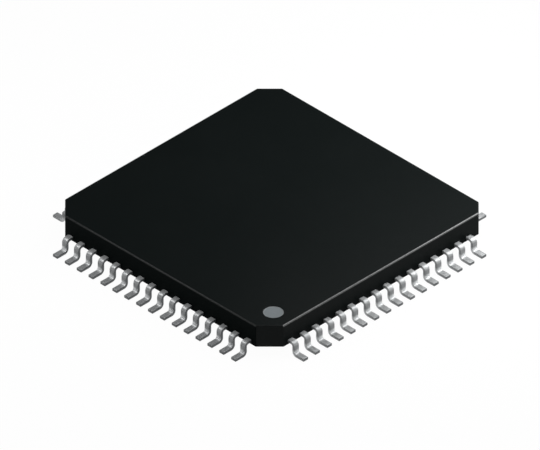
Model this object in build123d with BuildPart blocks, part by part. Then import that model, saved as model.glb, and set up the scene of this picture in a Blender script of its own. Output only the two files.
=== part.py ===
"""Quad flat pack chip: a flat moulded body with sixteen gull-wing leads on each side.

Millimetres, +Z up. The origin is in the seating plane, where the feet rest, under the
middle of the body. The corner with the pin-one mark is at -X -Y. Seen from above, the
leads count anticlockwise from it: 1 to 16 on the -Y side, 17 to 32 on +X, 33 to 48 on
+Y and 49 to 64 on -X.
"""
import os
from math import cos, radians, sin

from build123d import *

# Rows of leads, which set how long the body's sides are
leads_per_side = 16
lead_pitch = 0.65
row_end_margin = 1.125  # middle of a row's last lead to the end of the side

# Moulded body
body_height = 1.0
standoff = 0.40  # seating plane to the body's underside
rim_round = 0.055  # round along the top edges
pin_one_corner_cut = 0.77  # each corner's 45 degree cut, measured along the side
right_corner_cut = 0.56
back_corner_cut = 0.70
left_corner_cut = 0.81
ejector_mark_diameter = 1.2  # shallow marks that the mould's pins leave underneath
ejector_mark_depth = 0.03
ejector_mark_spacing = 7.6
ejector_marks_per_row = 2

# Pin-one mark: a disc of paint in a shallow dimple
mark_diameter = 0.81
mark_inset_x = 1.16  # centre of the mark to the body's -X side
mark_inset_y = 0.95  # centre of the mark to the body's -Y side
dimple_depth = 0.05
paint_thickness = 0.02

# Leads, outside the body
lead_width = 0.26
lead_thickness = 0.12
lead_reach = 0.86  # body side to the tip of the foot
shoulder_lift = 0.10  # body's underside to the underside of the lead
leg_distance = 0.24  # body side to the inner face of the leg
bend_inside_radius = 0.08
flats_per_outer_bend = 4  # short flats that draw the outside and the inside of a bend
flats_per_inner_bend = 2

# Lead fingers, inside the body
finger_straight = 0.55  # length that runs straight in from the body's side
finger_landing = 0.50  # straight length at the tip, where the wire lands
finger_tip_width = 0.19
finger_tip_pitch = 0.38
finger_pad_gap = 0.30  # clearance from the tips to the die pad

# Die pad and its tie bars
pad_side = 6.2
tie_bar_width = 0.25
tie_bar_cover = 0.20  # mould compound between a bar's end and the corner face

# Die, its adhesive and the bond wires
die_side = 4.6
die_thickness = 0.28
attach_thickness = 0.025
attach_margin = 0.08  # adhesive squeezed out beyond the die
wire_diameter = 0.03
wire_sides = 4  # flats round a wire
wire_pad_pitch = 0.26
wire_pad_inset = 0.12  # die edge to the bond
wire_landing_inset = 0.22  # finger tip to the bond
wire_rise = 0.12  # straight up from the die
wire_crown_height = 0.19  # highest point of the loop above the die
wire_crown_run = 0.28  # from the bond on the die out to the highest point
wire_overrun = 0.06  # drawn past the finger's top face, then trimmed flush with it

# How the pieces are shared among nodes
leads_per_group = 2
wires_per_group = 4

# Places and heights worked out from the sizes above
body_side = (leads_per_side - 1) * lead_pitch + 2 * row_end_margin
body_half = body_side / 2
body_top = standoff + body_height
frame_bottom = standoff + shoulder_lift
frame_top = frame_bottom + lead_thickness
attach_top = frame_top + attach_thickness
die_top = attach_top + die_thickness
dimple_floor = body_top - dimple_depth

side_count = 4
side_angle = 360 / side_count
lead_count = side_count * leads_per_side
pad_half = pad_side / 2
tip_distance = pad_half + finger_pad_gap
mark_centre = (mark_inset_x - body_half, mark_inset_y - body_half)

# The 45 degree cut of each corner, by the signs of its X and Y
corner_cuts = {
    (-1, -1): pin_one_corner_cut,
    (1, -1): right_corner_cut,
    (1, 1): back_corner_cut,
    (-1, 1): left_corner_cut,
}


def from_middle(place, pitch):
    """Distance along a side from its middle to the lead or wire at this place."""
    return (place - (leads_per_side - 1) / 2) * pitch


def bend(middle, radius, first_angle, last_angle, flats):
    """Points round a bend, drawn as a few short flats that keep 64 leads light."""
    turn = (last_angle - first_angle) / flats
    angles = [radians(first_angle + turn * step) for step in range(flats + 1)]
    return [(middle[0] + radius * cos(angle), middle[1] + radius * sin(angle)) for angle in angles]


def gull_wing(place):
    """The formed end of a lead on the -Y side: shoulder, leg and foot, bent from flat."""
    leg_inner = body_half + leg_distance
    leg_outer = leg_inner + lead_thickness
    foot_tip = body_half + lead_reach
    upper_bend = (leg_inner - bend_inside_radius, frame_bottom - bend_inside_radius)
    lower_bend = (leg_outer + bend_inside_radius, lead_thickness + bend_inside_radius)
    bend_outside_radius = bend_inside_radius + lead_thickness
    middle_of_lead = from_middle(place, lead_pitch)
    # The sketch's first axis points out of the body and its second points up
    upright = Plane(origin=(middle_of_lead, 0, 0), x_dir=(0, -1, 0), z_dir=(-1, 0, 0))
    with BuildPart() as formed:
        with BuildSketch(upright):
            with BuildLine():
                Polyline(
                    (body_half, frame_top),
                    *bend(upper_bend, bend_outside_radius, 90, 0, flats_per_outer_bend),
                    *bend(lower_bend, bend_inside_radius, 180, 270, flats_per_inner_bend),
                    (foot_tip, lead_thickness),
                    (foot_tip, 0),
                    *bend(lower_bend, bend_outside_radius, 270, 180, flats_per_outer_bend),
                    *bend(upper_bend, bend_inside_radius, 0, 90, flats_per_inner_bend),
                    (body_half, frame_bottom),
                    close=True,
                )
            make_face()
        extrude(amount=lead_width / 2, both=True)
    return formed.part


def finger(place):
    """The flat inner end of a lead on the -Y side, which fans in towards the die pad."""
    root = from_middle(place, lead_pitch)
    tip = from_middle(place, finger_tip_pitch)
    with BuildPart() as flat:
        with BuildSketch(Plane.XY.offset(frame_bottom)):
            with BuildLine():
                Polyline(
                    (root - lead_width / 2, -body_half),
                    (root + lead_width / 2, -body_half),
                    (root + lead_width / 2, -body_half + finger_straight),
                    (tip + finger_tip_width / 2, -tip_distance - finger_landing),
                    (tip + finger_tip_width / 2, -tip_distance),
                    (tip - finger_tip_width / 2, -tip_distance),
                    (tip - finger_tip_width / 2, -tip_distance - finger_landing),
                    (root - lead_width / 2, -body_half + finger_straight),
                    close=True,
                )
            make_face()
        extrude(amount=lead_thickness)
    return flat.part


def lead(place):
    """One whole lead of the -Y side, stamped and bent from one strip."""
    ends = [finger(place), gull_wing(place)]
    with BuildPart() as whole:
        add(ends)
    return whole.part


def bond_wire(place):
    """One wire of the -Y side: up from the die, over a low loop and down to its finger."""
    die_spot = from_middle(place, wire_pad_pitch)
    lead_spot = from_middle(place, finger_tip_pitch)
    start = Vector(die_spot, wire_pad_inset - die_side / 2, die_top)
    landing = Vector(lead_spot, -tip_distance - wire_landing_inset, frame_top)
    outwards = Vector(landing.X - start.X, landing.Y - start.Y, 0).normalized()
    crown = start + outwards * wire_crown_run + Vector(0, 0, wire_crown_height)
    below = landing + (landing - crown).normalized() * wire_overrun
    with BuildPart() as wire:
        with BuildLine():
            loop = Polyline(start, start + Vector(0, 0, wire_rise), crown, below)
        with BuildSketch(Plane(origin=start, z_dir=(0, 0, 1))):
            RegularPolygon(wire_diameter / 2, wire_sides)
        sweep(path=loop, transition=Transition.RIGHT)
        split(bisect_by=Plane.XY.offset(frame_top), keep=Keep.TOP)
    return wire.part


def group_on_side(pieces, side):
    """Some pieces of the -Y side, turned together to the side that they belong to."""
    with BuildPart() as group:
        for piece in pieces:
            add(piece, rotation=(0, 0, side * side_angle))
    return group.part


def groups_round_body(make_piece, group_size, name):
    """Every lead or wire round the body, as named groups counted from pin one."""
    blanks = [make_piece(place) for place in range(leads_per_side)]
    groups = {}
    for first in range(0, lead_count, group_size):
        side, place = divmod(first, leads_per_side)
        group = group_on_side(blanks[place : place + group_size], side)
        group.label = f"{name}_{first + 1:02d}_{first + group_size:02d}"
        groups[group.label] = group
    return groups


leads = groups_round_body(lead, leads_per_group, "leads")
bond_wires = groups_round_body(bond_wire, wires_per_group, "bond_wires")

with BuildPart() as die_pad:
    with BuildSketch(Plane.XY.offset(frame_bottom)):
        Rectangle(pad_side, pad_side)
        for (x_sign, y_sign), cut in corner_cuts.items():
            corner_face = Vector(x_sign, y_sign) * (body_side - cut) / 2
            bar_length = corner_face.length - tie_bar_cover
            with BuildLine():
                bar = PolarLine((0, 0), bar_length, direction=corner_face)
            trace(bar, line_width=tie_bar_width)
    extrude(amount=lead_thickness)
die_pad.part.label = "die_pad"

with BuildPart() as die_attach:
    with BuildSketch(Plane.XY.offset(frame_top)):
        Rectangle(die_side + 2 * attach_margin, die_side + 2 * attach_margin)
    extrude(amount=attach_thickness)
die_attach.part.label = "die_attach"

with BuildPart() as silicon_die:
    with BuildSketch(Plane.XY.offset(attach_top)):
        Rectangle(die_side, die_side)
    extrude(amount=die_thickness)
silicon_die.part.label = "silicon_die"

with BuildPart() as pin_one_mark:
    with BuildSketch(Plane.XY.offset(dimple_floor)):
        with Locations(mark_centre):
            Circle(mark_diameter / 2)
    extrude(amount=paint_thickness)
pin_one_mark.part.label = "pin_one_mark"

# The compound is moulded round everything inside it, so it is cut by each inner piece
with BuildPart() as mould_body:
    with BuildSketch(Plane.XY.offset(standoff)) as outline:
        Rectangle(body_side, body_side)
        for (x_sign, y_sign), cut in corner_cuts.items():
            corner = (x_sign * body_half, y_sign * body_half, 0)
            chamfer(outline.vertices().sort_by_distance(corner)[0], length=cut)
    extrude(amount=body_height)
    fillet(faces().sort_by(Axis.Z)[-1].edges(), radius=rim_round)
    with BuildSketch(Plane.XY.offset(body_top)):
        with Locations(mark_centre):
            Circle(mark_diameter / 2)
    extrude(amount=-dimple_depth, mode=Mode.SUBTRACT)
    with BuildSketch(Plane.XY.offset(standoff)):
        spacing, count = ejector_mark_spacing, ejector_marks_per_row
        with GridLocations(spacing, spacing, count, count):
            Circle(ejector_mark_diameter / 2)
    extrude(amount=ejector_mark_depth, mode=Mode.SUBTRACT)
    held_inside = [die_pad.part, die_attach.part, silicon_die.part]
    add([*held_inside, *leads.values(), *bond_wires.values()], mode=Mode.SUBTRACT)
mould_body.part.label = "mould_body"

os.makedirs("parts", exist_ok=True)
export_step(mould_body.part, "parts/mould_body.step")
export_step(pin_one_mark.part, "parts/pin_one_mark.step")
export_step(die_pad.part, "parts/die_pad.step")
export_step(die_attach.part, "parts/die_attach.step")
export_step(silicon_die.part, "parts/silicon_die.step")
for name, group in [*leads.items(), *bond_wires.items()]:
    export_step(group, f"parts/{name}.step")
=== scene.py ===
"""Finish, light and camera for a quad flat pack chip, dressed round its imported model."""
import math
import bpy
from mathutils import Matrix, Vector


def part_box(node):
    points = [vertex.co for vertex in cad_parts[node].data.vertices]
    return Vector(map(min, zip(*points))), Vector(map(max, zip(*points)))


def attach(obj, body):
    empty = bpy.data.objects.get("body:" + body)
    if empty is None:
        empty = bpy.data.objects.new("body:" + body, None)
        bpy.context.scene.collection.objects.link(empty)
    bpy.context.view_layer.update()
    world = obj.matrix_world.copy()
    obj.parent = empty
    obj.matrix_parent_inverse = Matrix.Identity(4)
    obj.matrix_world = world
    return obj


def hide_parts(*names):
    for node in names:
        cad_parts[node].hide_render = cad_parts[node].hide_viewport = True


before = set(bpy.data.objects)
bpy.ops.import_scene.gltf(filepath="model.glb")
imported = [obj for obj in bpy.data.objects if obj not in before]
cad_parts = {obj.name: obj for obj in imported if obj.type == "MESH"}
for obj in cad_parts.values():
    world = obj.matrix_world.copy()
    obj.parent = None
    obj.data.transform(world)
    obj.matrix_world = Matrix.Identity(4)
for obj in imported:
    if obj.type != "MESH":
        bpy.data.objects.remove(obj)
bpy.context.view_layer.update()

from types import SimpleNamespace

import bmesh
import bpy
from mathutils import Vector

mm = 0.001

# Sizes of the moulded body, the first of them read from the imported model
body_low, body_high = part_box("mould_body")
body_half = body_high.x
body_bottom = body_low.z
body_top = body_high.z
corner_cuts = {  # by the signs of the corner's X and Y
    (-1, -1): 0.77 * mm,
    (1, -1): 0.56 * mm,
    (1, 1): 0.70 * mm,
    (-1, 1): 0.81 * mm,
}
rim_round = 0.055 * mm
lower_edge_round = 0.02 * mm
level_edge_steps = 5  # flats across the rim's round and the lower edge's
upright_edge_round = 0.06 * mm
upright_edge_steps = 4
flat_border = 0.02 * mm  # flat band beside each rounded edge, which keeps the shading true
body_sharp_angle = math.radians(35)
ejector_mark_radius = 0.60 * mm
ejector_mark_depth = 0.03 * mm
ejector_mark_lip = 0.009 * mm
ejector_mark_reach = 3.80 * mm  # middle of the body to a mark, along X and along Y
ejector_mark_steps = 64

# How far the mould was polished, which the body keeps as a faint gloss
flat_polish = 0.042
polish_by_place = {  # by the part of the side and the way that it faces
    ("rim", "Y"): 0.95,
    ("rim", "X"): 0.21,
    ("rim", "cut"): 0.09,
    ("wall", "Y"): 0.052,
    ("wall", "X"): 0.0,
    ("wall", "cut"): 0.050,
}

# Sizes of the pin-one mark
mark_low, mark_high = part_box("pin_one_mark")
mark_middle = (mark_low + mark_high) / 2
mark_radius = (mark_high.x - mark_low.x) / 2
mark_floor = mark_low.z
mark_thickness = mark_high.z - mark_low.z
mark_steps = 96
dimple_lip = 0.015 * mm
paint_profile = [  # distance in from the rim, and share of the thickness there
    (0.0, 0.0),
    (0.0, 0.85),
    (0.004 * mm, 1.0),
    (0.025 * mm, 0.75),
    (0.060 * mm, 0.65),
    (mark_radius * 0.6, 0.70),
]

# Sizes of a lead, outside and inside the body
leads_per_side = 16
lead_pitch = 0.65 * mm
lead_width = 0.26 * mm
lead_thickness = 0.12 * mm
lead_reach = 0.86 * mm
shoulder_underside = 0.50 * mm
leg_distance = 0.24 * mm
bend_inside_radius = 0.08 * mm
finger_straight = 0.55 * mm
finger_landing = 0.50 * mm
finger_tip_width = 0.19 * mm
finger_tip_pitch = 0.38 * mm
finger_tip_distance = 3.40 * mm
stamped_edge_round = 0.018 * mm
stamped_edge_points = 3
bend_points = 9
cut_end_round = 0.012 * mm
cut_end_steps = 2
cut_end_angle = math.radians(60)
smooth_angle = math.radians(50)  # sharper edges of the leads and the paint stay crisp
shoulder_light_share = 0.30  # painted light on the shoulder, as a share of the lower bend's painted highlight
upper_bend_highlight_share = 0.20  # painted highlight added on the upper bend, over the shoulder's painted light
foot_highlight_fade = 0.77  # how far the painted highlight fades beyond the lower bend
toe_highlight_fade = 0.15  # how much further it fades at the toe
side_dullness_and_shade = {0: 0.35, 1: 1.0, 2: 0.35, 3: 1.0}  # of the stamped faces, by side of the body; the cut faces are duller, and the difference between the sides is painted shade

# Colours; a pair is the darkest and the lightest that the finish varies between
compound_colours = (0.0041, 0.0059, 0.0058, 1), (0.0050, 0.0068, 0.0067, 1)
thin_paint_colours = (0.153, 0.174, 0.184, 1), (0.168, 0.189, 0.200, 1)
pooled_paint_colour = (0.215, 0.232, 0.238, 1)
matt_plate_colours = (0.283, 0.292, 0.296, 1), (0.318, 0.327, 0.331, 1)
# Painted highlight colours for the plate's bends, which also give painted light on its shoulders and
# feet
plate_highlight_colours = (0.925, 0.943, 0.950, 1), (0.950, 0.965, 0.970, 1)
stamped_plate_colour = (0.125, 0.132, 0.137, 1)
white = (1, 1, 1, 1)

# Light
noise_low, noise_high = 0.3, 0.7  # the range that most of a noise value lies in
floor_bounce = 0.50  # what the floor sends back to the chip
floor_whiteness = 0.97  # how far the floor is seen as plain white, without its shadow
dome_colour = (0.97, 0.99, 1, 1)
dome_bright_side = (0.50, -0.78, -0.38)
dome_range = (-0.8, 0.8)  # along that direction
dome_strengths = (0.12, 0.30)
backdrop_fade = (0.02, 0.10)  # height of a ray where the white backdrop gives way to the dome
softboxes = {  # place, width and depth in millimetres, then radiance
    "right softbox": ((6, -8, 19.5), 16, 16, 2.4),
    "corner softbox": ((13, -10.5, 9.5), 9, 9, 2.9),
    "steep softbox": ((12, -5.5, 10), 8, 8, 2.6),
    "left softbox": ((-17, 17, 24), 14, 14, 4.25),
    "back strip": ((14, 4, 15), 20, 7, 2.4),
    "overhead softbox": ((-4, -4, 26), 14, 14, 1.6),
}
level_lights = ("back strip",)  # these face straight down, and the others face the chip

# How the photograph was framed
photo_width, photo_height = 540, 450
pixels_per_mm = 25.85
origin_pixel = (269.6, 236.85)
camera_azimuth = -45
camera_elevation = math.degrees(math.asin(math.tan(math.radians(30))))


def add_node(tree, kind, inputs=None, **settings):
    """A new node with its settings and inputs; an input is a value or another node's socket."""
    node = tree.nodes.new(kind)
    for name, value in settings.items():
        setattr(node, name, value)
    for key, value in (inputs or {}).items():
        if isinstance(value, bpy.types.NodeSocket):
            tree.links.new(value, node.inputs[key])
        else:
            node.inputs[key].default_value = value
    return node


def output_of(tree, kind, inputs=None, **settings):
    """The first output of a new node."""
    return add_node(tree, kind, inputs, **settings).outputs[0]


def maths(tree, operation, *values):
    """The result of a sum, product or other operation on numbers or sockets."""
    return output_of(tree, "ShaderNodeMath", dict(enumerate(values)), operation=operation)


def mapped(tree, value, start, end, low=0.0, high=1.0):
    """A value carried from one range to another, and held to it."""
    ranges = {"From Min": start, "From Max": end, "To Min": low, "To Max": high}
    return output_of(tree, "ShaderNodeMapRange", {"Value": value, **ranges})


def parts_of(tree, vector):
    """The X, Y and Z of a vector, by name."""
    return add_node(tree, "ShaderNodeSeparateXYZ", {0: vector}).outputs


def blend_colour(tree, amount, first, second):
    """A colour between two others."""
    node = add_node(tree, "ShaderNodeMix", data_type="RGBA")
    for key, value in (("Factor_Float", amount), ("A_Color", first), ("B_Color", second)):
        socket = next(s for s in node.inputs if s.identifier == key)
        if isinstance(value, bpy.types.NodeSocket):
            tree.links.new(value, socket)
        else:
            socket.default_value = value
    return next(s for s in node.outputs if s.identifier == "Result_Color")


# Shared finishes, each a group of shader nodes with its own inputs and outputs


def shader_group(name, inputs, outputs):
    """An empty group of shader nodes with named inputs, each with its value, and outputs."""
    group = bpy.data.node_groups.new(name, "ShaderNodeTree")
    for label, value in inputs.items():
        socket = group.interface.new_socket(label, in_out="INPUT", socket_type="NodeSocketFloat")
        socket.default_value = value
    for label in outputs:
        group.interface.new_socket(label, in_out="OUTPUT", socket_type="NodeSocketFloat")
    return group, group.nodes.new("NodeGroupInput"), group.nodes.new("NodeGroupOutput")


def grain_inputs(group, given, fine_size):
    """The place on the piece, and the scales of the fine grain and of the patches."""
    place = add_node(group, "ShaderNodeTexCoord").outputs["Object"]
    scales = [maths(group, "DIVIDE", 1.0, given.outputs[name]) for name in (fine_size, "Patch Size")]
    return place, *scales


def noise(tree, place, scale, detail, roughness=0.5):
    """Soft noise of a given fineness."""
    values = {"Vector": place, "Scale": scale, "Detail": detail, "Roughness": roughness}
    return add_node(tree, "ShaderNodeTexNoise", values).outputs["Fac"]


def grain_outputs(group, result, **values):
    """Links a group's results to its named outputs."""
    for name, value in values.items():
        group.links.new(value, result.inputs[name])


def make_moulded_grain():
    """Fine spark-eroded grain that a mould leaves on a plastic: a height, pits and patches."""
    group, given, result = shader_group(
        "moulded grain", {"Grain Size": 0.03 * mm, "Patch Size": 2 * mm}, ("Height", "Pits", "Patches")
    )
    place, grain_scale, patch_scale = grain_inputs(group, given, "Grain Size")
    crumb_scale = maths(group, "MULTIPLY", grain_scale, 0.6)
    pits = noise(group, place, grain_scale, detail=3.0, roughness=0.6)
    crumbs = add_node(
        group, "ShaderNodeTexVoronoi", {"Vector": place, "Scale": crumb_scale}, feature="SMOOTH_F1"
    ).outputs["Distance"]
    patches = noise(group, place, patch_scale, detail=4.0, roughness=0.55)
    height = maths(group, "ADD", pits, crumbs)
    grain_outputs(group, result, Height=height, Pits=pits, Patches=patches)
    return group


def make_plated_grain():
    """Matt tin over stamped strip: crystals, a finer grain over them and cloudy patches."""
    group, given, result = shader_group(
        "plated grain",
        {"Crystal Size": 0.02 * mm, "Patch Size": 0.4 * mm},
        ("Height", "Crystals", "Patches"),
    )
    place, crystal_scale, patch_scale = grain_inputs(group, given, "Crystal Size")
    fine_scale = maths(group, "MULTIPLY", crystal_scale, 1.7)
    crystals = add_node(
        group, "ShaderNodeTexVoronoi", {"Vector": place, "Scale": crystal_scale}
    ).outputs["Distance"]
    fine = noise(group, place, fine_scale, detail=2.0)
    patches = noise(group, place, patch_scale, detail=3.0)
    height = maths(group, "ADD", crystals, fine)
    grain_outputs(group, result, Height=height, Crystals=crystals, Patches=patches)
    return group


moulded_grain = make_moulded_grain()
plated_grain = make_plated_grain()


def new_material(name):
    """An empty material, its tree and its surface shader."""
    material = bpy.data.materials.new(name)
    material.use_nodes = True
    tree = material.node_tree
    return material, tree, tree.nodes["Principled BSDF"]


def grain_node(tree, group, **sizes):
    """A shared finish placed in a material with its own sizes."""
    node = add_node(tree, "ShaderNodeGroup", node_tree=group)
    for name, value in sizes.items():
        node.inputs[name.replace("_", " ").title()].default_value = value
    return node


def stretched(tree, value, low, high):
    """A noise value spread over a range, and held to it."""
    return mapped(tree, value, noise_low, noise_high, low, high)


def bumped(tree, height, depth):
    """A normal that follows a height, with its depth in metres."""
    node = add_node(tree, "ShaderNodeBump", {"Height": height, "Strength": 1.0, "Distance": depth})
    return node.outputs["Normal"]


def moulding_compound():
    """Black epoxy moulding compound with a fine matt grain."""
    material, tree, surface = new_material("black moulding compound")
    grain = grain_node(tree, moulded_grain, grain_size=0.035 * mm, patch_size=2.5 * mm)
    shade = stretched(tree, grain.outputs["Patches"], 0.0, 1.0)
    colour = blend_colour(tree, shade, *compound_colours)
    tree.links.new(colour, surface.inputs["Base Color"])
    tree.links.new(stretched(tree, grain.outputs["Patches"], 0.50, 0.58), surface.inputs["Roughness"])
    tree.links.new(bumped(tree, grain.outputs["Height"], 0.0012 * mm), surface.inputs["Normal"])
    polish = add_node(tree, "ShaderNodeAttribute", attribute_name="polish").outputs["Fac"]
    gloss = maths(tree, "MULTIPLY", polish, stretched(tree, grain.outputs["Pits"], 0.55, 1.45))
    tree.links.new(gloss, surface.inputs["Coat Weight"])
    surface.inputs["Coat Roughness"].default_value = 0.30
    surface.inputs["Coat IOR"].default_value = 1.94
    surface.inputs["Specular IOR Level"].default_value = 0.01
    return material


def mark_paint():
    """Light grey paint of the pin-one mark, a little uneven."""
    material, tree, surface = new_material("pin one mark paint")
    grain = grain_node(tree, moulded_grain, grain_size=0.05 * mm, patch_size=0.35 * mm)
    shade = stretched(tree, grain.outputs["Patches"], 0.0, 1.0)
    thin = blend_colour(tree, shade, *thin_paint_colours)
    pooled = add_node(tree, "ShaderNodeAttribute", attribute_name="pooled").outputs["Fac"]
    colour = blend_colour(tree, pooled, thin, pooled_paint_colour)
    tree.links.new(colour, surface.inputs["Base Color"])
    tree.links.new(stretched(tree, grain.outputs["Patches"], 0.50, 0.62), surface.inputs["Roughness"])
    tree.links.new(bumped(tree, grain.outputs["Height"], 0.0010 * mm), surface.inputs["Normal"])
    surface.inputs["Specular IOR Level"].default_value = 0.35
    return material


def plated_strip():
    """Tin-plated strip, with painted highlights on its bends and painted light on its shoulders and
    feet; dull where it was stamped through, with painted shade that differs by row.
    """
    material, tree, surface = new_material("matt tin plate")
    grain = grain_node(tree, plated_grain, crystal_size=0.018 * mm, patch_size=0.35 * mm)
    patch = stretched(tree, grain.outputs["Patches"], 0.0, 1.0)
    matt = blend_colour(tree, patch, *matt_plate_colours)
    bright = blend_colour(tree, patch, *plate_highlight_colours)
    # Painted highlights on the bends, and painted light on the shoulders and feet
    painted_plate_light = add_node(tree, "ShaderNodeAttribute", attribute_name="painted_plate_light").outputs["Fac"]
    plate = blend_colour(tree, painted_plate_light, matt, bright)
    # Dull stamped faces, with painted shade that differs by row of leads
    stamped = add_node(tree, "ShaderNodeAttribute", attribute_name="stamped_side_and_shade").outputs["Fac"]
    colour = blend_colour(tree, stamped, plate, stamped_plate_colour)
    tree.links.new(colour, surface.inputs["Base Color"])
    tree.links.new(stretched(tree, grain.outputs["Crystals"], 0.30, 0.38), surface.inputs["Roughness"])
    tree.links.new(bumped(tree, grain.outputs["Height"], 0.0010 * mm), surface.inputs["Normal"])
    surface.inputs["Metallic"].default_value = 0.27
    return material


def plain_inner(name, dark, light, roughness, metallic):
    """A plain finish with a faint grain, for a piece that is sealed inside the body."""
    material, tree, surface = new_material(name)
    grain = grain_node(tree, plated_grain, crystal_size=0.02 * mm, patch_size=0.6 * mm)
    shade = stretched(tree, grain.outputs["Patches"], 0.0, 1.0)
    colour = blend_colour(tree, shade, (*dark, 1), (*light, 1))
    tree.links.new(colour, surface.inputs["Base Color"])
    spread = stretched(tree, grain.outputs["Crystals"], roughness, roughness + 0.1)
    tree.links.new(spread, surface.inputs["Roughness"])
    surface.inputs["Metallic"].default_value = metallic
    return material


compound = moulding_compound()
paint = mark_paint()
tin_plate = plated_strip()
adhesive = plain_inner(
    "silver-filled adhesive", (0.42, 0.43, 0.44), (0.55, 0.56, 0.57), roughness=0.5, metallic=0.3
)
polished_silicon = plain_inner(
    "polished silicon", (0.10, 0.11, 0.14), (0.16, 0.17, 0.21), roughness=0.18, metallic=0.6
)
gold_wire = plain_inner(
    "gold wire", (0.78, 0.55, 0.18), (0.86, 0.64, 0.26), roughness=0.22, metallic=1.0
)


def finished(mesh, name, material, node_names):
    """A finished piece at the origin that stands for CAD nodes and moves with the part."""
    piece = bpy.data.objects.new(name, mesh)
    bpy.context.scene.collection.objects.link(piece)
    if not mesh.materials:
        mesh.materials.append(material)
    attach(piece, "root")
    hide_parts(*node_names)


def mesh_from(bm, name):
    """A new mesh with what was drawn in a bmesh, which is then freed."""
    mesh = bpy.data.meshes.new(name)
    bm.to_mesh(mesh)
    bm.free()
    return mesh


def baked(piece):
    """The plain mesh that an object's modifiers end in."""
    graph = bpy.context.evaluated_depsgraph_get()
    graph.update()
    return bpy.data.meshes.new_from_object(piece.evaluated_get(graph))


# Moulded body


def outline(inset=0.0):
    """The body seen from above, anticlockwise, drawn in by an inset, its corners eased."""
    half = body_half - inset
    corner_turn = math.radians(45)
    reach = upright_edge_round * math.tan(corner_turn / 2)
    corners = []
    for (x_sign, y_sign), whole_cut in corner_cuts.items():
        cut = whole_cut + (math.sqrt(2) - 2) * inset
        along_y = Vector((x_sign * half, y_sign * (half - cut)))
        along_x = Vector((x_sign * (half - cut), y_sign * half))
        corners += [along_y, along_x] if x_sign == y_sign else [along_x, along_y]
    eased = []
    for place, corner in enumerate(corners):
        before = (corners[place - 1] - corner).normalized()
        after = (corners[(place + 1) % len(corners)] - corner).normalized()
        start, end = corner + before * reach, corner + after * reach
        for step in range(upright_edge_steps + 1):
            share = step / upright_edge_steps
            first, second = start.lerp(corner, share), corner.lerp(end, share)
            eased.append(tuple(first.lerp(second, share)))
    return eased


def ring(bm, points, height):
    """Points joined into a closed ring of edges at one height."""
    verts = [bm.verts.new((x, y, height)) for x, y in points]
    return [bm.edges.new((a, b)) for a, b in zip(verts, verts[1:] + verts[:1])]


def circle(middle_x, middle_y, radius, steps):
    """Points round a circle, anticlockwise."""
    turns = [2 * math.pi * step / steps for step in range(steps)]
    return [(middle_x + radius * math.cos(t), middle_y + radius * math.sin(t)) for t in turns]


def bridge(bm, rings):
    """Walls between each ring of edges and the next, edge by edge."""
    for low_ring, high_ring in zip(rings, rings[1:]):
        for low, high in zip(low_ring, high_ring):
            bm.faces.new((low.verts[0], low.verts[1], high.verts[1], high.verts[0]))


def sunk_circle(bm, middle_x, middle_y, radius, surface, depth, lip, steps):
    """A shallow round recess with a soft lip, sunk down, or up where its depth is negative.

    Returns the ring that the face round it starts from.
    """
    sink = math.copysign(1, depth)
    floor = surface - depth
    profile = [
        (radius + lip + flat_border, surface),
        (radius + lip, surface),
        (radius + lip * 0.3, surface - sink * lip * 0.3),
        (radius, surface - sink * lip),
        (radius, floor + sink * lip * 0.5),
        (radius - lip * 0.5, floor),
        (radius - lip * 0.5 - flat_border, floor),
    ]
    rings = [ring(bm, circle(middle_x, middle_y, r, steps), z) for r, z in profile]
    bridge(bm, rings)
    bmesh.ops.contextual_create(bm, geom=rings[-1])
    return rings[0]


def mould_polish(face):
    """How far the mould was polished where it shaped this face: most along the rim."""
    level_face = 0.99
    middle = face.calc_center_median()
    if abs(face.normal.z) > level_face:
        return flat_polish
    part = "rim" if middle.z > body_top - rim_round else "wall"
    if abs(abs(middle.y) - body_half) < rim_round:
        return polish_by_place[part, "Y"]
    if abs(abs(middle.x) - body_half) < rim_round:
        return polish_by_place[part, "X"]
    return polish_by_place[part, "cut"]


def body_profile():
    """The inset and height of each ring round the body, from its underside up to its top."""
    turns = [math.pi / 2 * step / level_edge_steps for step in range(level_edge_steps + 1)]
    rim = [
        (rim_round * (1 - math.cos(t)), body_top - rim_round * (1 - math.sin(t))) for t in turns
    ]
    heel = [
        (lower_edge_round * (1 - math.sin(t)), body_bottom + lower_edge_round * (1 - math.cos(t)))
        for t in turns
    ]
    return [
        (lower_edge_round + flat_border, body_bottom),
        *heel,
        *rim,
        (rim_round + flat_border, body_top),
    ]


def evenly_shaded(mesh):
    """The body's mesh, shaded so that its large faces look flat and its rounds smooth."""
    mesh.set_sharp_from_angle(angle=body_sharp_angle)
    mesh.shade_smooth()
    draft = bpy.data.objects.new("moulded_body_draft", mesh)
    bpy.context.scene.collection.objects.link(draft)
    weighted = draft.modifiers.new("weighted", "WEIGHTED_NORMAL")
    weighted.weight = 100
    weighted.keep_sharp = True
    final = baked(draft)
    bpy.data.objects.remove(draft)
    return final


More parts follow.
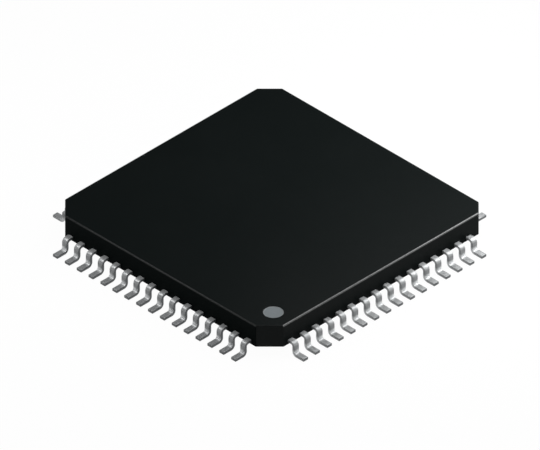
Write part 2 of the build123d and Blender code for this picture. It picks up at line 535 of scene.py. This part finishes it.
def make_body():
    """The moulded body: soft rim and edges, the mark's dimple, and ejector marks below."""
    bm = bmesh.new()
    polish = bm.faces.layers.float.new("polish")
    rings = [ring(bm, outline(inset), height) for inset, height in body_profile()]
    bridge(bm, rings)
    dimple = sunk_circle(
        bm,
        mark_middle.x,
        mark_middle.y,
        mark_radius,
        body_top,
        body_top - mark_floor,
        dimple_lip,
        mark_steps,
    )
    bmesh.ops.triangle_fill(bm, edges=rings[-1] + dimple, use_beauty=True)
    marks = []
    for x_sign, y_sign in corner_cuts:
        marks += sunk_circle(
            bm,
            x_sign * ejector_mark_reach,
            y_sign * ejector_mark_reach,
            ejector_mark_radius,
            body_bottom,
            -ejector_mark_depth,
            ejector_mark_lip,
            ejector_mark_steps,
        )
    bmesh.ops.triangle_fill(bm, edges=rings[0] + marks, use_beauty=True)
    bmesh.ops.recalc_face_normals(bm, faces=bm.faces)
    bm.normal_update()
    for face in bm.faces:
        face[polish] = mould_polish(face)
    mesh = evenly_shaded(mesh_from(bm, "moulded_body_draft"))
    mesh.name = "moulded_body"
    finished(mesh, "moulded_body", compound, ["mould_body"])


def make_mark():
    """The disc of paint, crowned a little and drawn up at its rim."""
    bm = bmesh.new()
    rings = []
    for inset, share in paint_profile:
        rim = circle(mark_middle.x, mark_middle.y, mark_radius - inset, mark_steps)
        rings.append(ring(bm, rim, mark_floor + mark_thickness * share))
    pooled = bm.verts.layers.float.new("pooled")
    for edge in rings[1] + rings[2] + rings[3]:
        for vert in edge.verts:
            vert[pooled] = 1.0
    bridge(bm, rings)
    for edges in (rings[0], rings[-1]):
        bmesh.ops.contextual_create(bm, geom=edges)
    bmesh.ops.recalc_face_normals(bm, faces=bm.faces)
    mesh = mesh_from(bm, "pin_one_paint")
    mesh.shade_smooth()
    mesh.set_sharp_from_angle(angle=smooth_angle)
    finished(mesh, "pin_one_paint", paint, ["pin_one_mark"])


# Leads


def lead_sizes():
    """The named sizes that the lead tree takes, each with its value."""
    return {
        "Lead Pitch": lead_pitch,
        "Lead Width": lead_width,
        "Lead Thickness": lead_thickness,
        "Lead Reach": lead_reach,
        "Shoulder Underside": shoulder_underside,
        "Leg Distance": leg_distance,
        "Bend Inside Radius": bend_inside_radius,
        "Stamped Edge Round": stamped_edge_round,
        "Body Half Side": body_half,
        "Finger Straight": finger_straight,
        "Finger Landing": finger_landing,
        "Finger Tip Width": finger_tip_width,
        "Finger Tip Pitch": finger_tip_pitch,
        "Finger Tip Distance": finger_tip_distance,
    }


def total(tree, *parts):
    """The sum of some numbers or sockets."""
    value = parts[0]
    for part in parts[1:]:
        value = maths(tree, "ADD", value, part)
    return value


def half_of(tree, value):
    """Half of a socket's number."""
    return maths(tree, "MULTIPLY", value, 0.5)


def stored(tree, geometry, name, value, domain):
    """Geometry that keeps a named value on each of its points or faces."""
    return output_of(
        tree,
        "GeometryNodeStoreNamedAttribute",
        {"Geometry": geometry, "Name": name, "Value": value},
        data_type="FLOAT",
        domain=domain,
    )


def strip_places(tree, given):
    """Heights along the strip, and distances out from the middle of the body, as sockets."""
    inside_radius = given["Bend Inside Radius"]
    half_thick = half_of(tree, given["Lead Thickness"])
    leg_out = total(tree, given["Body Half Side"], given["Leg Distance"], half_thick)
    leg_top = maths(tree, "SUBTRACT", given["Shoulder Underside"], inside_radius)
    leg_foot = total(tree, given["Lead Thickness"], inside_radius)
    foot_start = total(tree, leg_out, half_thick, inside_radius)
    return SimpleNamespace(
        half_thick=half_thick,
        strip_height=total(tree, given["Shoulder Underside"], half_thick),
        landing_end=total(tree, given["Finger Tip Distance"], given["Finger Landing"]),
        straight_end=maths(tree, "SUBTRACT", given["Body Half Side"], given["Finger Straight"]),
        leg_out=leg_out,
        leg_top=leg_top,
        leg_middle=half_of(tree, total(tree, leg_top, leg_foot)),
        leg_foot=leg_foot,
        foot_matt=total(tree, foot_start, half_of(tree, inside_radius)),
        toe_out=total(tree, given["Body Half Side"], given["Lead Reach"]),
    )


def middle_line(tree, given, at):
    """The strip's middle line, bent twice, from the finger's tip out to the foot's toe."""
    corners = [
        (given["Finger Tip Distance"], at.strip_height),
        (at.landing_end, at.strip_height),
        (at.straight_end, at.strip_height),
        (at.leg_out, at.strip_height),
        (at.leg_out, at.leg_middle),
        (at.leg_out, at.half_thick),
        (at.foot_matt, at.half_thick),
        (at.toe_out, at.half_thick),
    ]
    upper_corner, lower_corner = 3, 5
    same_number = 0.1  # numbers less apart than this are one and the same corner
    index = output_of(tree, "GeometryNodeInputIndex")
    line = output_of(tree, "GeometryNodeCurvePrimitiveLine")
    line = output_of(tree, "GeometryNodeResampleCurve", {"Curve": line, "Count": len(corners)})
    pick = add_node(tree, "GeometryNodeIndexSwitch", data_type="VECTOR")
    while len(pick.index_switch_items) < len(corners):
        pick.index_switch_items.new()
    tree.links.new(index, pick.inputs["Index"])
    for item, (out, up) in enumerate(corners):
        side_y = maths(tree, "MULTIPLY", out, -1.0)
        corner = output_of(tree, "ShaderNodeCombineXYZ", {"Y": side_y, "Z": up})
        tree.links.new(corner, pick.inputs[str(item)])
    line = output_of(
        tree, "GeometryNodeSetPosition", {"Geometry": line, "Position": pick.outputs[0]}
    )
    is_upper, is_lower = (
        maths(tree, "COMPARE", index, corner, same_number)
        for corner in (upper_corner, lower_corner)
    )
    middle_radius = total(tree, given["Bend Inside Radius"], at.half_thick)
    bend_radius = maths(tree, "MULTIPLY", middle_radius, total(tree, is_upper, is_lower))
    return output_of(
        tree,
        "GeometryNodeFilletCurve",
        {"Curve": line, "Radius": bend_radius, "Count": bend_points},
        mode="POLY",
    )


def bent_strip(tree, given, at):
    """One strip: a section with its stamped edges a little rounded, along the middle line."""
    section = output_of(
        tree,
        "GeometryNodeCurvePrimitiveQuadrilateral",
        {"Width": given["Lead Width"], "Height": given["Lead Thickness"]},
    )
    section = output_of(
        tree,
        "GeometryNodeFilletCurve",
        {"Curve": section, "Radius": given["Stamped Edge Round"], "Count": stamped_edge_points},
        mode="POLY",
    )
    line = middle_line(tree, given, at)
    return output_of(
        tree, "GeometryNodeCurveToMesh", {"Curve": line, "Profile Curve": section, "Fill Caps": True}
    )


def run_of_strips(tree, given, strip):
    """A run of strips, each knowing its place counted from the middle of its side."""
    index = output_of(tree, "GeometryNodeInputIndex")
    middle_place = (leads_per_side - 1) / 2
    place = maths(tree, "SUBTRACT", total(tree, index, given["First Place"]), middle_place)
    points = output_of(tree, "GeometryNodePoints", {"Count": given["Leads In Run"]})
    points = stored(tree, points, "place", place, "POINT")
    run = output_of(tree, "GeometryNodeInstanceOnPoints", {"Points": points, "Instance": strip})
    return output_of(tree, "GeometryNodeRealizeInstances", {"Geometry": run})


def stamped_share(tree, given, at, outwards):
    """How dark each face is: the strip's cut faces are its two sides and the end of its toe, which are
    duller, and the sides also carry painted shade that differs by row.
    """
    sideways_face = 0.7
    toe_depth = 0.1  # of half the strip's thickness
    facing = parts_of(tree, output_of(tree, "GeometryNodeInputNormal"))
    is_side = maths(tree, "GREATER_THAN", maths(tree, "ABSOLUTE", facing["X"]), sideways_face)
    end_band = maths(tree, "MULTIPLY", at.half_thick, toe_depth)
    toe_start = maths(tree, "SUBTRACT", at.toe_out, end_band)
    is_toe = maths(tree, "GREATER_THAN", outwards, toe_start)
    # The sides' darkness by row is painted shade
    dull_and_shaded_side = maths(tree, "MULTIPLY", is_side, given["Side Dullness And Shade"])
    return maths(tree, "MAXIMUM", dull_and_shaded_side, is_toe)


def upper_bend_shine(tree, given, at, here, outwards):
    """Painted light on the shoulder and painted highlight on the upper bend."""
    inner_face = maths(tree, "SUBTRACT", at.leg_out, at.half_thick)
    shoulder_end = maths(tree, "SUBTRACT", inner_face, given["Bend Inside Radius"])
    round_bend = mapped(tree, outwards, shoulder_end, at.leg_out)
    shine = total(tree, shoulder_light_share, maths(tree, "MULTIPLY", round_bend, upper_bend_highlight_share))
    bend_low = total(tree, at.leg_top, half_of(tree, given["Bend Inside Radius"]))
    above_leg = mapped(tree, here["Z"], bend_low, at.strip_height)
    return maths(tree, "MULTIPLY", shine, above_leg)


def lower_bend_shine(tree, at, here, outwards):
    """Painted highlight on the lower bend, fading out along the foot."""
    outer_face = total(tree, at.leg_out, at.half_thick)
    foot_fade = total(
        tree,
        maths(tree, "MULTIPLY", mapped(tree, outwards, outer_face, at.foot_matt), foot_highlight_fade),
        maths(tree, "MULTIPLY", mapped(tree, outwards, at.foot_matt, at.toe_out), toe_highlight_fade),
    )
    shine = maths(tree, "SUBTRACT", 1.0, foot_fade)
    below_leg = mapped(tree, here["Z"], at.leg_middle, at.leg_foot)
    return maths(tree, "MULTIPLY", below_leg, shine)


def fanned_in(tree, given, at, here, outwards):
    """Where each point goes, as the fingers narrow and fan in towards the die pad."""
    place = output_of(tree, "GeometryNodeInputNamedAttribute", {"Name": "place"}, data_type="FLOAT")
    pitch_here, width_here = (
        mapped(tree, outwards, at.landing_end, at.straight_end, given[at_tip], given[at_root])
        for at_tip, at_root in (("Finger Tip Pitch", "Lead Pitch"), ("Finger Tip Width", "Lead Width"))
    )
    widened = maths(tree, "MULTIPLY", here["X"], width_here)
    across = maths(tree, "DIVIDE", widened, given["Lead Width"])
    sideways = total(tree, maths(tree, "MULTIPLY", place, pitch_here), across)
    return output_of(tree, "ShaderNodeCombineXYZ", {"X": sideways, "Y": here["Y"], "Z": here["Z"]})


def turned_to_side(tree, geometry, side):
    """Geometry of the -Y side, turned to the side that it belongs to."""
    quarter_turn = math.pi / 2
    angle = maths(tree, "MULTIPLY", side, quarter_turn)
    turn = output_of(tree, "ShaderNodeCombineXYZ", {"Z": angle})
    return output_of(tree, "GeometryNodeTransform", {"Geometry": geometry, "Rotation": turn})


def make_lead_tree():
    """Geometry nodes that bend one strip into a gull wing and set a run of them in a row."""
    tree = bpy.data.node_groups.new("gull-wing leads", "GeometryNodeTree")
    tree.interface.new_socket("Geometry", in_out="OUTPUT", socket_type="NodeSocketGeometry")
    for label, value in lead_sizes().items():
        socket = tree.interface.new_socket(label, in_out="INPUT", socket_type="NodeSocketFloat")
        socket.default_value = value
    for label in ("Side", "First Place", "Leads In Run"):
        tree.interface.new_socket(label, in_out="INPUT", socket_type="NodeSocketInt")
    tree.interface.new_socket("Side Dullness And Shade", in_out="INPUT", socket_type="NodeSocketFloat")
    tree.interface.new_socket("Plating", in_out="INPUT", socket_type="NodeSocketMaterial")
    given = tree.nodes.new("NodeGroupInput").outputs
    at = strip_places(tree, given)
    run = run_of_strips(tree, given, bent_strip(tree, given, at))

    # What the plating looks like, with its dull stamped faces, painted shade and painted highlights,
    # is kept on the mesh before the fingers are fanned in
    here = parts_of(tree, output_of(tree, "GeometryNodeInputPosition"))
    outwards = maths(tree, "MULTIPLY", here["Y"], -1.0)
    run = stored(tree, run, "stamped_side_and_shade", stamped_share(tree, given, at, outwards), "FACE")
    upper_highlights = upper_bend_shine(tree, given, at, here, outwards)
    lower_highlights = lower_bend_shine(tree, at, here, outwards)
    run = stored(tree, run, "painted_plate_light", total(tree, upper_highlights, lower_highlights), "POINT")

    place = fanned_in(tree, given, at, here, outwards)
    run = output_of(tree, "GeometryNodeSetPosition", {"Geometry": run, "Position": place})
    run = turned_to_side(tree, run, given["Side"])
    run = output_of(tree, "GeometryNodeRealizeInstances", {"Geometry": run})
    run = output_of(tree, "GeometryNodeSetMaterial", {"Geometry": run, "Material": given["Plating"]})
    result = tree.nodes.new("NodeGroupOutput")
    tree.links.new(run, result.inputs[0])
    return tree


def set_inputs(modifier, values):
    """Gives a geometry nodes modifier its inputs, by each socket's identifier."""
    for item in modifier.node_group.interface.items_tree:
        if item.item_type == "SOCKET" and item.in_out == "INPUT" and item.name in values:
            modifier[item.identifier] = values[item.name]


def make_leads():
    """Every lead as a smooth bent strip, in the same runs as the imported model's nodes."""
    tree = make_lead_tree()
    runs = sorted(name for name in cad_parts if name.startswith("leads_"))
    leads_in_run = leads_per_side * len(side_dullness_and_shade) // len(runs)
    for number, node_name in enumerate(runs):
        side, place = divmod(number * leads_in_run, leads_per_side)
        draft = bpy.data.objects.new("lead_draft", bpy.data.meshes.new("lead_draft"))
        bpy.context.scene.collection.objects.link(draft)
        bending = draft.modifiers.new("bending", "NODES")
        bending.node_group = tree
        values = {"Side": side, "First Place": place, "Leads In Run": leads_in_run}
        # The stamped faces' darkness by side is partly painted shade
        finish = {"Side Dullness And Shade": side_dullness_and_shade[side], "Plating": tin_plate}
        set_inputs(bending, {**lead_sizes(), **values, **finish})
        ends = draft.modifiers.new("cut ends", "BEVEL")
        ends.width = cut_end_round
        ends.segments = cut_end_steps
        ends.limit_method = "ANGLE"
        ends.angle_limit = cut_end_angle
        mesh = baked(draft)
        bpy.data.objects.remove(draft)
        mesh.shade_smooth()
        mesh.set_sharp_from_angle(angle=smooth_angle)
        piece_name = node_name.replace("leads", "gull_wing")
        finished(mesh, piece_name, tin_plate, [node_name])


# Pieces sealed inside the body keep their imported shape


def dress_inner_pieces():
    """Gives the pad, adhesive, die and wires their finishes."""
    finishes = {"die_pad": tin_plate, "die_attach": adhesive, "silicon_die": polished_silicon}
    for name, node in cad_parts.items():
        finish = gold_wire if name.startswith("bond_wires") else finishes.get(name)
        if finish and node.material_slots:
            node.material_slots[0].material = finish
        elif finish:
            node.data.materials.append(finish)


# Floor, light and camera


def seen_rays(tree):
    """One for the rays that show a surface to the camera, straight or by way of another."""
    path = add_node(tree, "ShaderNodeLightPath").outputs
    seen = maths(tree, "MAXIMUM", path["Is Camera Ray"], path["Is Glossy Ray"])
    return maths(tree, "MAXIMUM", seen, path["Is Transmission Ray"])


def make_floor():
    """A large white floor that keeps a soft shadow, clear when seen from below."""
    half_size = 0.6
    drop = 0.002 * mm
    bm = bmesh.new()
    bmesh.ops.create_grid(bm, x_segments=1, y_segments=1, size=half_size)
    bmesh.ops.translate(bm, verts=bm.verts, vec=(0, 0, -drop))
    mesh = mesh_from(bm, "floor")
    floor = bpy.data.objects.new("floor", mesh)
    bpy.context.scene.collection.objects.link(floor)
    material = bpy.data.materials.new("white floor")
    material.use_nodes = True
    tree = material.node_tree
    tree.nodes.clear()
    bright = output_of(tree, "ShaderNodeEmission", {"Color": white, "Strength": 1.0})
    clear = output_of(tree, "ShaderNodeBsdfTransparent")
    seen = seen_rays(tree)
    paleness = mapped(tree, seen, 0.0, 1.0, floor_bounce, 1.0)
    sheet = output_of(tree, "ShaderNodeBsdfDiffuse", {"Color": paleness})
    share = maths(tree, "MULTIPLY", seen, floor_whiteness)
    lit = output_of(tree, "ShaderNodeMixShader", {0: share, 1: sheet, 2: bright})
    below = add_node(tree, "ShaderNodeNewGeometry").outputs["Backfacing"]
    whole = output_of(tree, "ShaderNodeMixShader", {0: below, 1: lit, 2: clear})
    result = tree.nodes.new("ShaderNodeOutputMaterial")
    tree.links.new(whole, result.inputs["Surface"])
    mesh.materials.append(material)


def make_world():
    """A studio dome, brighter low down on the right, over a backdrop as white as the floor."""
    world = bpy.data.worlds.new("studio dome")
    bpy.context.scene.world = world
    world.use_nodes = True
    tree = world.node_tree
    tree.nodes.clear()
    direction = add_node(tree, "ShaderNodeTexCoord").outputs["Generated"]
    towards_bright = add_node(
        tree, "ShaderNodeVectorMath", {0: direction, 1: dome_bright_side}, operation="DOT_PRODUCT"
    ).outputs["Value"]
    strength = mapped(tree, towards_bright, *dome_range, *dome_strengths)
    dome, backdrop = (
        output_of(tree, "ShaderNodeBackground", {"Color": colour, "Strength": level})
        for colour, level in ((dome_colour, strength), (white, 1.0))
    )
    height = parts_of(tree, direction)["Z"]
    low_down = mapped(tree, height, *backdrop_fade, 1.0, 0.0)
    share = maths(tree, "MULTIPLY", seen_rays(tree), low_down)
    whole = output_of(tree, "ShaderNodeMixShader", {0: share, 1: dome, 2: backdrop})
    result = tree.nodes.new("ShaderNodeOutputWorld")
    tree.links.new(whole, result.inputs["Surface"])


def make_softbox(name, place, width, depth, radiance):
    """A soft light, sized and placed in millimetres, that faces the chip or lies level."""
    lamp = bpy.data.lights.new(name, "AREA")
    lamp.shape = "RECTANGLE"
    lamp.size, lamp.size_y = width * mm, depth * mm
    lamp.energy = radiance * math.pi * lamp.size * lamp.size_y
    box = bpy.data.objects.new(name, lamp)
    box.location = Vector(place) * mm
    box.visible_camera = False
    if name not in level_lights:
        box.rotation_mode = "QUATERNION"
        box.rotation_quaternion = box.location.to_track_quat("Z", "Y")
    bpy.context.scene.collection.objects.link(box)


def make_camera():
    """An upright view with no perspective, looking down as the photograph does."""
    azimuth = math.radians(camera_azimuth)
    elevation = math.radians(camera_elevation)
    back = Vector(
        (
            math.sin(azimuth) * math.cos(elevation),
            -math.cos(azimuth) * math.cos(elevation),
            math.sin(elevation),
        )
    )
    turn = (-back).to_track_quat("-Z", "Y")
    right, up = turn @ Vector((1, 0, 0)), turn @ Vector((0, 1, 0))
    aside = (photo_width / 2 - origin_pixel[0]) / pixels_per_mm * mm
    above = (origin_pixel[1] - photo_height / 2) / pixels_per_mm * mm
    lens = bpy.data.cameras.new("camera")
    lens.type = "ORTHO"
    lens.ortho_scale = photo_width / pixels_per_mm * mm
    lens.clip_start = 1 * mm
    lens.clip_end = 5000 * mm
    camera = bpy.data.objects.new("camera", lens)
    distance = 120 * mm
    camera.location = back * distance + right * aside + up * above
    camera.rotation_mode = "QUATERNION"
    camera.rotation_quaternion = turn
    bpy.context.scene.collection.objects.link(camera)
    bpy.context.scene.camera = camera


make_body()
make_mark()
make_leads()
dress_inner_pieces()
make_floor()
make_world()
for name, settings in softboxes.items():
    make_softbox(name, *settings)
make_camera()
bpy.context.scene.view_settings.view_transform = "Standard"
